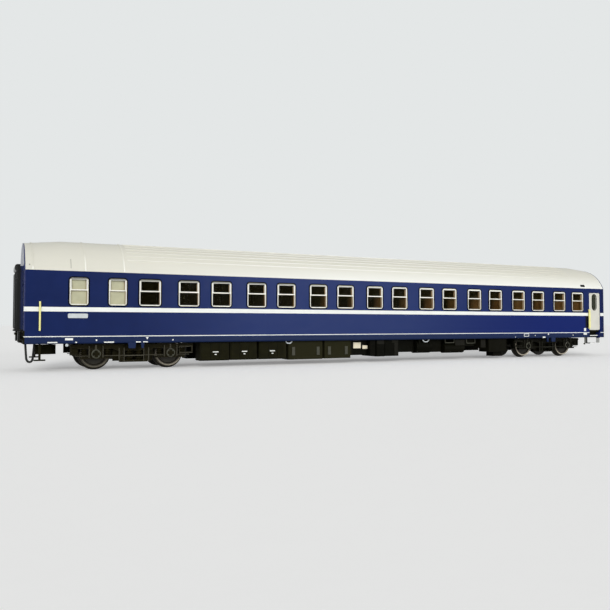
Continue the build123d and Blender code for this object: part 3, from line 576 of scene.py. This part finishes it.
def add_box(mesh, x, y, z):
    """A box between the (low, high) pairs x, y and z."""
    size = (x[1] - x[0], y[1] - y[0], z[1] - z[0])
    middle = ((x[0] + x[1]) / 2, (y[0] + y[1]) / 2, (z[0] + z[1]) / 2)
    placed = Matrix.Translation(middle) @ Matrix.Diagonal((*size, 1))
    return bmesh.ops.create_cube(mesh, size=1.0, matrix=placed)["verts"]


def add_soft_box(mesh, x, y, z, round_off):
    """A box with rounded edges, its faces in the same order in each run."""
    box = bmesh.new()
    add_box(box, x, y, z)
    bmesh.ops.bevel(box, geom=list(box.edges), offset=round_off, segments=2, profile=0.5, affect="EDGES")
    faces = sorted(([tuple(vert.co) for vert in face.verts] for face in box.faces), key=sorted)
    box.free()
    verts = {}
    for face in faces:
        for point in face:
            if point not in verts:
                verts[point] = mesh.verts.new(point)
        mesh.faces.new([verts[point] for point in face])


def add_loops(mesh, loops, closed=True):
    """A skin over loops of points, each joined to the next.

    The last loop is joined to the first, or both end loops are filled.
    """
    rows = [[mesh.verts.new(point) for point in loop] for loop in loops]
    pairs = list(zip(rows, rows[1:])) + ([(rows[-1], rows[0])] if closed else [])
    for first, second in pairs:
        for index in range(len(first)):
            after = (index + 1) % len(first)
            mesh.faces.new((first[index], first[after], second[after], second[index]))
    if not closed:
        mesh.faces.new(rows[0])
        mesh.faces.new(rows[-1])


def add_prism(mesh, outline, y):
    """A flat piece with an outline of (x, z) points, between the two places in y."""
    add_loops(mesh, [[(x, place, z) for x, z in outline] for place in y], closed=False)


def add_tube(mesh, points, radius, sides, closed=False):
    """A round tube along points, with flat ends unless it is closed."""
    points = [Vector(point) for point in points]
    count = len(points)
    turns = [2 * math.pi * step / sides for step in range(sides)]
    rings = []
    side = None
    for index, point in enumerate(points):
        after = points[(index + 1) % count] if closed or index + 1 < count else point
        before = points[index - 1] if closed or index else point
        along = (after - before).normalized()
        side = (side - along * side.dot(along)).normalized() if side else along.orthogonal().normalized()
        across = along.cross(side)
        rings.append([point + radius * (math.cos(turn) * side + math.sin(turn) * across) for turn in turns])
    add_loops(mesh, rings, closed)


def add_turned(mesh, centre, axis, profile, sides):
    """A turned ring: profile is (radius, distance along axis) pairs, closed into a loop."""
    axis = Vector(axis).normalized()
    side = axis.orthogonal().normalized()
    across = axis.cross(side)
    turns = [2 * math.pi * step / sides for step in range(sides)]
    add_loops(mesh, [
        [
            Vector(centre) + radius * (math.cos(turn) * side + math.sin(turn) * across) + along * axis
            for turn in turns
        ]
        for radius, along in profile
    ])


same_place = 0.001 * MM


def rounded_outline(x, z, corner, steps=5):
    """Points of a rectangle with round corners, as (x, z) pairs, each place once."""
    points = []
    for quarter, (cx, cz) in enumerate((
        (x[1] - corner, z[1] - corner), (x[0] + corner, z[1] - corner),
        (x[0] + corner, z[0] + corner), (x[1] - corner, z[0] + corner),
    )):
        for step in range(steps + 1):
            turn = math.pi / 2 * (quarter + step / steps)
            point = (cx + corner * math.cos(turn), cz + corner * math.sin(turn))
            if all(math.dist(point, other) > same_place for other in points[:1] + points[-1:]):
                points.append(point)
    return points


def add_rim(mesh, x, z, corner, width, y):
    """A flat rim of the given width around a rounded rectangle, between the two places in y."""
    inner = rounded_outline(x, z, corner)
    outer = rounded_outline(grown(x, width), grown(z, width), corner + width)
    add_loops(mesh, [
        [(px, y[0], pz) for px, pz in inner],
        [(px, y[0], pz) for px, pz in outer],
        [(px, y[1], pz) for px, pz in outer],
        [(px, y[1], pz) for px, pz in inner],
    ])


def piece(name, mesh, material, body, smooth=False):
    """Turns a bmesh into a piece of the object that rides on a body."""
    bmesh.ops.recalc_face_normals(mesh, faces=mesh.faces)
    data = bpy.data.meshes.new(name)
    mesh.to_mesh(data)
    mesh.free()
    data.materials.append(MATERIALS[material])
    made = bpy.data.objects.new(name, data)
    scene.collection.objects.link(made)
    if smooth:
        for polygon in data.polygons:
            polygon.use_smooth = True
    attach(made, body)
    return made


# White waist stripe and thin sill line on both sides, interrupted by the doorway
doorway = grown((door_low.x, door_high.x), doorway_gap)
printing = bmesh.new()
for way in (-1, 1):
    y = mirrored(way, side_y, side_y + print_thickness)
    for z in (waist_stripe, sill_line):
        add_box(printing, (-body_end, doorway[0]), y, z)
        add_box(printing, (doorway[1], body_end), y, z)
piece("stripes", printing, "white_print", "coach_body")

# Small bare plates and marks on the photographed side
print_y = (-side_y - print_thickness, -side_y)
marks = bmesh.new()
for row in SIDE_PLATES:
    x0, x1, z0, z1 = scaled(row)
    add_box(marks, (x0, x1), print_y, (z0, z1))
x0, x1, z0, z1 = scaled(SIGN_OUTLINE)
add_rim(marks, grown((x0, x1), -sign_bar), grown((z0, z1), -sign_bar), sign_corner, sign_bar, print_y)
for row in SIDE_DOTS:
    x, z, diameter = scaled(row)
    radius = diameter / 2
    add_prism(marks, rounded_outline(around(x, radius), around(z, radius), radius), print_y)
for row in SIDE_WEDGES:
    x, z, width, height = scaled(row)
    left, right = around(x, width / 2)
    add_prism(marks, ((right, z), (left, z), (x, z - height)), print_y)
piece("side_marks", marks, "white_print", "coach_body")

x0, x1, z0, z1 = scaled(NAME_PLATE)
plate = bmesh.new()
add_prism(plate, rounded_outline((x0, x1), (z0, z1), plate_corner), (-side_y - plate_thickness, -side_y))
piece("name_plate", plate, "plate_grey", "coach_body")

# Dark gaskets around the window frames, which also paint the shadow of the proud frames, and around the door
# panes
in_front_of_wall = 0.1 * MM
stile_gap = 2 * MM


def window_spans():
    """The frames' x from and to, read from their vertices in front of the wall."""
    solid = frame["nodes"]["window_frames_right"]
    front = sorted(vert.co.x for vert in solid.data.vertices if abs(vert.co.y) > side_y + in_front_of_wall)
    sides = [[front[0], front[0]]]
    for x in front:
        if x - sides[-1][1] > stile_gap:
            sides.append([x, x])
        sides[-1][1] = x
    return [(left[0], right[1]) for left, right in zip(sides[::2], sides[1::2])]


frame_corner = 1.1 * MM
gasket_lap = 0.1 * MM
gasket_width = 0.46 * MM
gasket_proud = 0.05 * MM
door_pane_half = 1.65 * MM
door_pane_x = around((door_low.x + door_high.x) / 2, door_pane_half)
door_pane_z = (25.55 * MM, 34.15 * MM)
door_gasket = 0.3 * MM
door_y = max(abs(door_low.y), abs(door_high.y))
frame_z = grown((frames_low.z, frames_high.z), -gasket_lap)
gaskets = bmesh.new()
for way in (-1, 1):
    y = mirrored(way, side_y, abs(frames_low.y) + gasket_proud)
    for x in window_spans():
        add_rim(gaskets, grown(x, -gasket_lap), frame_z, frame_corner - gasket_lap, gasket_width, y)
    y = mirrored(way, door_y, door_y + gasket_proud)
    add_rim(gaskets, door_pane_x, door_pane_z, (door_pane_x[1] - door_pane_x[0]) / 2, door_gasket, y)
piece("gaskets", gaskets, "gasket_black", "coach_body")

# Flat grips on the rails beside the doors
rail_low, rail_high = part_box("handrails")
grip_half = 0.6 * MM
grip_inset = (0.6 * MM, 0.03 * MM)
grip_short = 0.5 * MM
grip_round = 0.15 * MM
grip_x = around(door_low.x - grip_half, grip_half)
grip_z = grown((rail_low.z, rail_high.z), -grip_short)
grips = bmesh.new()
for way in (-1, 1):
    y = mirrored(way, rail_high.y - grip_inset[0], rail_high.y - grip_inset[1])
    add_soft_box(grips, grip_x, y, grip_z, grip_round)
piece("rail_grips", grips, "rail_yellow", "coach_body")

# Vent slot, drain dot and panel line on the roof: x from and to, z from and to, lift off the surface
ROOF_VENT = (132.4, 135.7, 38.2, 39.4, 0.08)
ROOF_DOT = (-148.35, -148.05, 39.25, 39.55, -0.12)
ROOF_LINE = (-134.05, -133.85, 38.4, 42.0, 0.02)
roof_patch_thickness = 0.18 * MM


def roof_point(x, z, lift):
    """A point of the roof's near flank at height z, lifted off its surface."""
    turn = math.asin((z - roof_centre_z) / roof_radius)
    reach = roof_radius + lift
    return (x, -reach * math.cos(turn), roof_centre_z + reach * math.sin(turn))


def add_roof_patch(mesh, row, steps):
    """A thin slab bent over the roof's near flank, in steps from its lower to its upper edge."""
    x0, x1, z0, z1, lift = scaled(row)
    under = lift - roof_patch_thickness
    corners = ((x0, under), (x1, under), (x1, lift), (x0, lift))
    levels = [z0 + (z1 - z0) * step / steps for step in range(steps + 1)]
    loops = [[roof_point(place, level, depth) for place, depth in corners] for level in levels]
    add_loops(mesh, loops, closed=False)


roof_marks = bmesh.new()
add_roof_patch(roof_marks, ROOF_VENT, 2)
add_roof_patch(roof_marks, ROOF_DOT, 1)
piece("roof_vent", roof_marks, "gasket_black", "coach_body")
roof_line = bmesh.new()
add_roof_patch(roof_line, ROOF_LINE, 6)
piece("roof_panel_line", roof_line, "plate_shade", "coach_body")

# A bar and a dot on each battery box, pale covers in the recess, covers on the boxes
tag_bar_half = 1.2 * MM
tag_bar_z = (6.0 * MM, 6.4 * MM)
tag_bar_round = 0.05 * MM
tag_dot_half = 0.45 * MM
tag_dot_z = (5.0 * MM, 5.35 * MM)
tag_dot_corner = 0.17 * MM
tag_y = around(equipment_y, 0.06 * MM)
tags = bmesh.new()
for middle in BATTERY_PLATES:
    x = middle * MM
    add_soft_box(tags, around(x, tag_bar_half), tag_y, tag_bar_z, tag_bar_round)
    add_prism(tags, rounded_outline(around(x, tag_dot_half), tag_dot_z, tag_dot_corner), tag_y)
piece("battery_tags", tags, "white_print", "coach_body")

recess_depth = 2.2 * MM
recess_cover = 0.35 * MM
recess_round = 0.15 * MM
recess_y = equipment_y + recess_depth
covers = bmesh.new()
for row in RECESS_COVERS:
    x0, x1, z0, z1 = scaled(row)
    add_soft_box(covers, (x0, x1), (recess_y - recess_cover, recess_y), (z0, z1), recess_round)
piece("recess_covers", covers, "cover_cream", "coach_body")

box_cover_y = around(equipment_y, 0.12 * MM)
box_cover_round = 0.08 * MM
box_covers = bmesh.new()
for row in BOX_COVERS:
    x0, x1, z0, z1 = scaled(row)
    add_soft_box(box_covers, (x0, x1), box_cover_y, (z0, z1), box_cover_round)
piece("box_covers", box_covers, "locker_grey", "coach_body")

# Hooks and brackets of round wire under the solebar, a round cap beside the rear bogie and a single hook by
# the steps. Profiles are radius and distance along the axis, the path is x and z, in millimetres
bracket_y = -14.45 * MM
wire_sides = 8
hook_steps = 8
hook_wire = 0.28 * MM
bracket_wire = 0.22 * MM
CAP_PROFILE = [scaled(row) for row in ((0.05, 0), (0.58, 0), (0.58, 0.25), (0.4, 0.4), (0.05, 0.45))]
cap_place = scaled((-135.15, -15.8, 9.78))
cap_sides = 16
STEP_HOOK = [scaled(row) for row in ((135.6, 10.4), (135.6, 7.6), (135.2, 6.7), (134.6, 6.9))]
step_hook_y = -15.75 * MM
step_hook_wire = 0.35 * MM
turns = [math.pi * step / hook_steps for step in range(hook_steps + 1)]
hooks = bmesh.new()
for row in SOLEBAR_HOOKS:
    x0, x1, low = scaled(row)
    middle, reach = (x0 + x1) / 2, (x1 - x0) / 2
    drop = sill_z - low
    bend = [(middle - reach * math.cos(turn), sill_z - drop * math.sin(turn)) for turn in turns]
    add_tube(hooks, [(x, bracket_y, z) for x, z in bend], hook_wire, wire_sides)
add_turned(hooks, cap_place, (0, -1, 0), CAP_PROFILE, cap_sides)
piece("solebar_hooks", hooks, "plate_grey", "coach_body", smooth=True)

brackets = bmesh.new()
for row in SOLEBAR_BRACKETS:
    x0, x1, low = scaled(row)
    path = ((x0, sill_z), (x0, low), (x1, low), (x1, sill_z))
    add_tube(brackets, [(x, bracket_y, z) for x, z in path], bracket_wire, wire_sides)
add_tube(brackets, [(x, step_hook_y, z) for x, z in STEP_HOOK], step_hook_wire, wire_sides)
piece("solebar_brackets", brackets, "handle_grey", "coach_body", smooth=True)

# Coil springs of the bogies
coil_wire = 0.22 * MM
coil_wire_sides = 6
coil_turns = 3.5
coil_steps = 16
core_share = 0.62
core_sides = 16
spring_radius = 1.25 * MM
bolster_radius = 1.6 * MM
axle_half_base = 14.35 * MM
spring_offset = 4.3 * MM
bolster_offset = 1.9 * MM
beam_mid_y = 12.1 * MM
axle_spring_z = (5.1 * MM, 8.2 * MM)
bolster_spring_z = (3.6 * MM, 7.4 * MM)


def add_coil(mesh, x, y, z, outside):
    """A coil spring of an outside radius around a plain core, between the two levels in z."""
    radius = outside - coil_wire
    add_tube(mesh, [(x, y, level) for level in z], radius * core_share, core_sides)
    steps = int(coil_turns * coil_steps)
    points = []
    for step in range(steps + 1):
        share = step / steps
        turn = 2 * math.pi * coil_turns * share
        level = z[0] + coil_wire + (z[1] - z[0] - 2 * coil_wire) * share
        points.append((x + radius * math.cos(turn), y + radius * math.sin(turn), level))
    add_tube(mesh, points, coil_wire, coil_wire_sides)


for end in ("front", "rear"):
    middle = pivot_x[f"bogie_{end}"]
    coils = bmesh.new()
    for way in (-1, 1):
        y = way * beam_mid_y
        for axle in (-axle_half_base, axle_half_base):
            for offset in (-spring_offset, spring_offset):
                add_coil(coils, middle + axle + offset, y, axle_spring_z, spring_radius)
        for offset in (-bolster_offset, bolster_offset):
            add_coil(coils, middle + offset, y, bolster_spring_z, bolster_radius)
    made = piece(f"coil_springs_{end}", coils, "bogie_black", f"bogie_{end}", smooth=True)
    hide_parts(f"bogie_springs_{end}")

# Rings and bolts on the axle box covers, in a paler grey that paints the highlights on them
CAP_RING = [scaled(row) for row in ((1.4, 0), (1.4, 0.12), (1.7, 0.06), (1.7, 0))]
cap_ring_sides = 24
bolt_circle = 1.15 * MM
bolt_radius = 0.22 * MM
bolt_height = 0.18 * MM
bolt_sides = 6
bolt_count = 4
axle_z = 6.25 * MM
for end in ("front", "rear"):
    low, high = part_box(f"axle_boxes_{end}")
    caps = bmesh.new()
    for way, face in ((-1, low.y), (1, high.y)):
        for axle in (-axle_half_base, axle_half_base):
            centre = (pivot_x[f"bogie_{end}"] + axle, face, axle_z)
            add_turned(caps, centre, (0, way, 0), CAP_RING, cap_ring_sides)
            for bolt in range(bolt_count):
                turn = 2 * math.pi * (bolt + 0.5) / bolt_count
                x = centre[0] + bolt_circle * math.cos(turn)
                z = centre[2] + bolt_circle * math.sin(turn)
                add_tube(caps, ((x, face, z), (x, face + way * bolt_height, z)), bolt_radius, bolt_sides)
    piece(f"axle_caps_{end}", caps, "handle_grey", f"bogie_{end}")

# Strips, straps and rods on the outer sides of the bogies, in a pale grey that paints highlights, the strips
# beside the axle boxes standing for the highlights on the box edges
strip_half = 0.15 * MM
strap_half = 0.3 * MM
trim_round = 0.05 * MM
horn_offset = 2.55 * MM
horn_z = (4.8 * MM, 9.3 * MM)
strap_z = (7.9 * MM, 9.7 * MM)
bolster_straps = (3.8 * MM, 5.7 * MM)
bolster_strap_z = (3.0 * MM, 8.5 * MM)
spring_band_z = (5.2 * MM, 5.6 * MM)
rod_z = 5.5 * MM
rod_half_length = 22.0 * MM
rod_radius = 0.15 * MM
loop_x = (18.0 * MM, 23.3 * MM)
loop_z = (6.2 * MM, 8.7 * MM)
loop_radius = 0.18 * MM
on_beam_y = (12.9 * MM, 13.2 * MM)
on_box_y = (12.8 * MM, 13.75 * MM)
band_y = (13.5 * MM, 13.8 * MM)
rod_y = 13.1 * MM
for end, inward in (("front", -1), ("rear", 1)):
    middle = pivot_x[f"bogie_{end}"]
    trim = bmesh.new()
    for way in (-1, 1):
        on_beam, on_box, on_band = (mirrored(way, *span) for span in (on_beam_y, on_box_y, band_y))
        for axle in around(middle, axle_half_base):
            for x in around(axle, horn_offset):
                add_soft_box(trim, around(x, strip_half), on_box, horn_z, trim_round)
            add_soft_box(trim, around(axle, strap_half), on_beam, strap_z, trim_round)
        for offset in bolster_straps:
            for x in around(middle, offset):
                add_soft_box(trim, around(x, strip_half), on_beam, bolster_strap_z, trim_round)
        add_soft_box(trim, around(middle, bolster_straps[0]), on_band, spring_band_z, trim_round)
        y = way * rod_y
        add_tube(trim, [(x, y, rod_z) for x in around(middle, rod_half_length)], rod_radius, wire_sides)
        near, far = (middle + inward * place for place in loop_x)
        corners = ((near, loop_z[0]), (far, loop_z[0]), (far, loop_z[1]), (near, loop_z[1]))
        add_tube(trim, [(x, y, z) for x, z in corners], loop_radius, wire_sides, closed=True)
    piece(f"bogie_trim_{end}", trim, "worn_grey", f"bogie_{end}")

# Dark plates in the guards at the outer ends of the bogies and behind their middle springs, which paint the
# shade seen through the bogies, and rubber feet under the gangway tubes
guard_x = (20.9 * MM, 23.3 * MM)
guard_z = (6.2 * MM, 9.6 * MM)
guard_half = 0.2 * MM
guard_round = 0.08 * MM
back_half_length = 7.8 * MM
back_y = 10.4 * MM
back_z = (3.3 * MM, 7.6 * MM)
foot_height = 0.65 * MM
foot_lap = 0.05 * MM
foot_gap = 0.1 * MM
foot_width = 2.6 * MM
foot_round = 0.15 * MM
for end, way in (("front", 1), ("rear", -1)):
    guards = bmesh.new()
    x = sorted(pivot_x[f"bogie_{end}"] + way * place for place in guard_x)
    for y in (-beam_mid_y, beam_mid_y):
        add_soft_box(guards, x, around(y, guard_half), guard_z, guard_round)
    x = around(pivot_x[f"bogie_{end}"], back_half_length)
    for y in (-back_y, back_y):
        add_soft_box(guards, x, around(y, guard_half), back_z, guard_round)
    piece(f"guard_plates_{end}", guards, "bogie_black", f"bogie_{end}")

    feet = bmesh.new()
    low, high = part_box(f"gangway_tubes_{end}")
    x = (low.x, foot_gap - body_end) if way < 0 else (foot_gap + body_end, high.x)
    z = (low.z - foot_height, low.z + foot_lap)
    for y in ((low.y, low.y + foot_width), (high.y - foot_width, high.y)):
        add_soft_box(feet, x, y, z, foot_round)
    piece(f"tube_feet_{end}", feet, "black_rubber", "coach_body")

# Rims on the wheels' outer faces, bright with painted highlights, and their treads
RIM_PROFILE = [scaled(row) for row in (
    (4.70, 0), (4.73, 0.03), (5.02, 0.32), (5.07, 0.34), (5.24, 0.34), (5.30, 0.28), (5.30, 0),
)]
TREAD_PROFILE = [scaled(row) for row in ((5.30, -0.2), (5.46, -0.2), (5.46, -1.5), (5.30, -1.5))]
rim_sides = 48
for number in range(1, 5):
    low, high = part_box(f"wheels_{number}")
    middle = (low + high) / 2
    rims = bmesh.new()
    for way, face in ((-1, low.y), (1, high.y)):
        for profile in (RIM_PROFILE, TREAD_PROFILE):
            add_turned(rims, (middle.x, face, middle.z), (0, way, 0), profile, rim_sides)
    piece(f"wheel_rims_{number}", rims, "tread_steel", f"wheelset_{number}", smooth=True)

# Camera
camera = bpy.data.cameras.new("camera")
camera.sensor_fit = "HORIZONTAL"
camera.sensor_width = sensor_width
camera.lens = focal_pixels / image_size * sensor_width
camera.shift_y = -axis_above_middle / image_size
camera.clip_start = 0.01
camera_object = bpy.data.objects.new("camera", camera)
camera_object.location = camera_place
camera_object.rotation_euler = (math.radians(90 + camera_pitch), 0, math.radians(-camera_yaw))
scene.collection.objects.link(camera_object)
scene.camera = camera_object

# Floor, world and lamps
floor_half = 12.0
floor_glow = 0.24
floor_mesh = bmesh.new()
bmesh.ops.create_grid(floor_mesh, x_segments=1, y_segments=1, size=floor_half)
floor_data = bpy.data.meshes.new("floor")
floor_mesh.to_mesh(floor_data)
floor_mesh.free()
floor = bpy.data.objects.new("floor", floor_data)
scene.collection.objects.link(floor)
floor_surface = Surface("floor", srgb(250, 250, 248), 0.8, specular=0.0)
floor_data.materials.append(floor_surface.finish(0.01, 200 * MM, 0.05, 5 * MM, 0.02))
floor_seen = floor_surface.nodes.new("ShaderNodeLightPath").outputs["Is Camera Ray"]
floor_shine = floor_surface.ranged(floor_seen, 0.0, floor_glow, 0.0, 1.0)
floor_surface.shader.inputs["Emission Color"].default_value = (1.0, 1.0, 1.0, 1.0)
floor_surface.links.new(floor_shine, floor_surface.shader.inputs["Emission Strength"])

world = bpy.data.worlds.new("world")
world.use_nodes = True
scene.world = world
ambient = 0.34
world_nodes, world_links = world.node_tree.nodes, world.node_tree.links
background = world_nodes["Background"]
background.inputs["Color"].default_value = (0.97, 0.985, 1.0, 1.0)
background.inputs["Strength"].default_value = ambient
seen = world_nodes.new("ShaderNodeBackground")
seen.inputs["Color"].default_value = srgb(228, 231, 231)
seen.inputs["Strength"].default_value = 1.0
path = world_nodes.new("ShaderNodeLightPath")
mix = world_nodes.new("ShaderNodeMixShader")
shown = path.outputs["Is Camera Ray"]
for kind in ("Is Glossy Ray", "Is Transmission Ray"):
    either = world_nodes.new("ShaderNodeMath")
    either.operation = "MAXIMUM"
    world_links.new(shown, either.inputs[0])
    world_links.new(path.outputs[kind], either.inputs[1])
    shown = either.outputs["Value"]
world_links.new(shown, mix.inputs["Fac"])
world_links.new(background.outputs["Background"], mix.inputs[1])
world_links.new(seen.outputs["Background"], mix.inputs[2])
world_links.new(mix.outputs["Shader"], world_nodes["World Output"].inputs["Surface"])


def sun(name, place, strength, softness):
    """A distant lamp that shines from the direction of place towards the origin, softness in degrees."""
    light = bpy.data.lights.new(name, "SUN")
    light.energy = strength
    light.angle = math.radians(softness)
    made = bpy.data.objects.new(name, light)
    made.rotation_euler = (-Vector(place)).to_track_quat("-Z", "Y").to_euler()
    scene.collection.objects.link(made)


sun("key", (-0.44, -0.82, 0.38), strength=1.5, softness=25)
sun("fill", (0.42, -0.9, 0.12), strength=1.0, softness=25)

scene.view_settings.view_transform = "Standard"
